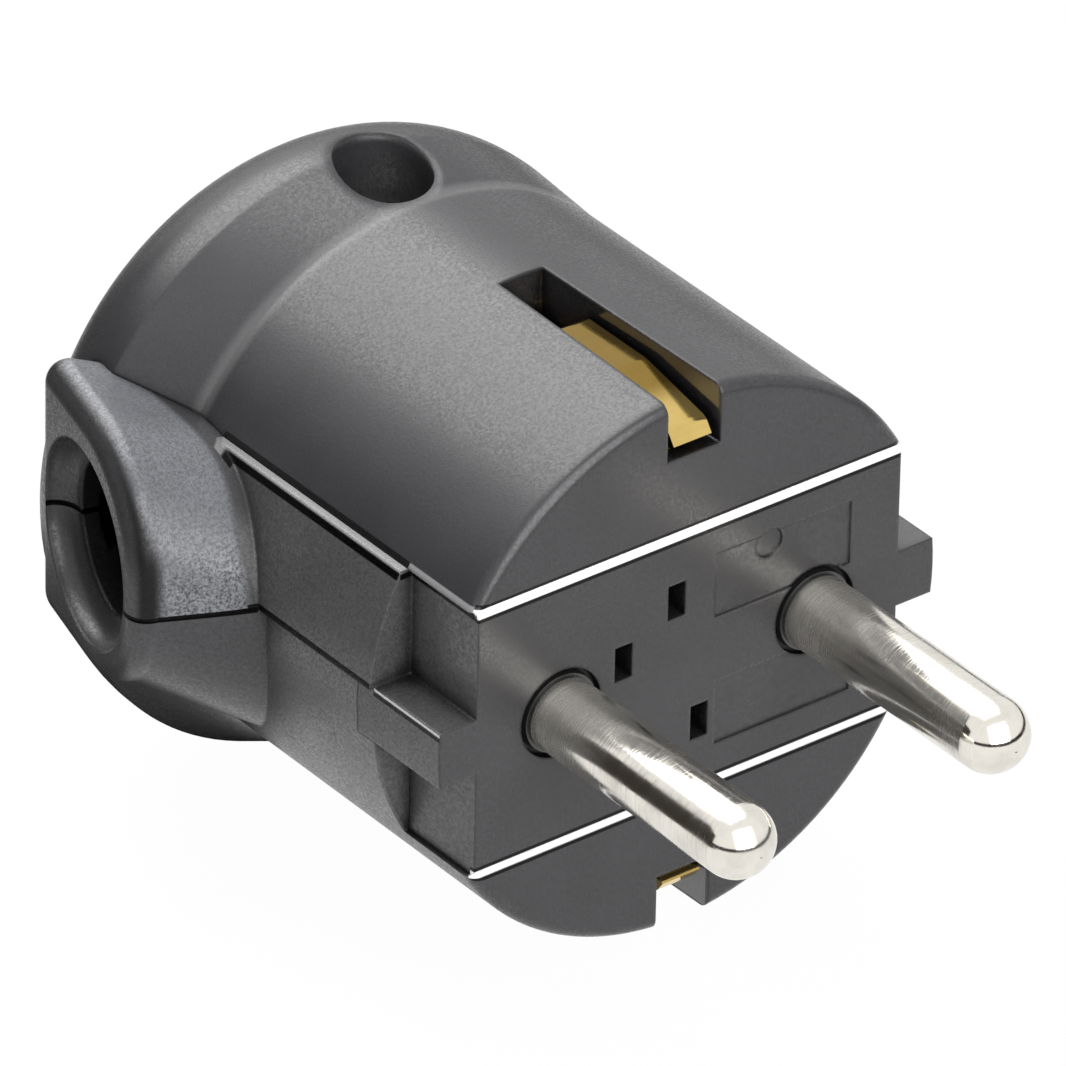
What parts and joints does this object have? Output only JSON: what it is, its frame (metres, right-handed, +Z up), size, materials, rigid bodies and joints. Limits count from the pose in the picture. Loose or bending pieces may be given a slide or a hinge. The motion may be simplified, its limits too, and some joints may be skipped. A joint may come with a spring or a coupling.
{
  "type": "angled mains plug",
  "caption": "Round-bodied angled earthed mains plug with parallel round pins, side earth strips in slots, guide notches and a side cord outlet with a bell mouth.",
  "frame": {"origin": "centre of the front face, midway between the contact pins", "axes": "+Y from the face into the body with the pins along -Y, +Z up, cord outlet towards -X"},
  "size_m": [0.0443, 0.0592, 0.0404],
  "materials": {
    "housing": "charcoal moulding with a fine spark-eroded grain",
    "carrier": "charcoal moulding, smoother on the face",
    "pins": "bright nickel plate over turned brass",
    "brass": "plain bright brass",
    "screws": "zinc plated"
  },
  "bodies": {
    "root": {"upper_cover": "housing", "contact_carrier": "carrier", "lower_cover": "housing", "pin_left": "pins", "pin_right": "pins", "terminal_left": "brass", "terminal_right": "brass", "terminal_screw_left": "screws", "terminal_screw_right": "screws", "earth_strap": "brass", "earth_terminal": "brass", "earth_screw": "screws", "cord_clamp": "carrier", "clamp_screw_front": "screws", "clamp_screw_rear": "screws", "housing_screw": "screws", "housing_insert": "brass"}
  },
  "joints": []
}
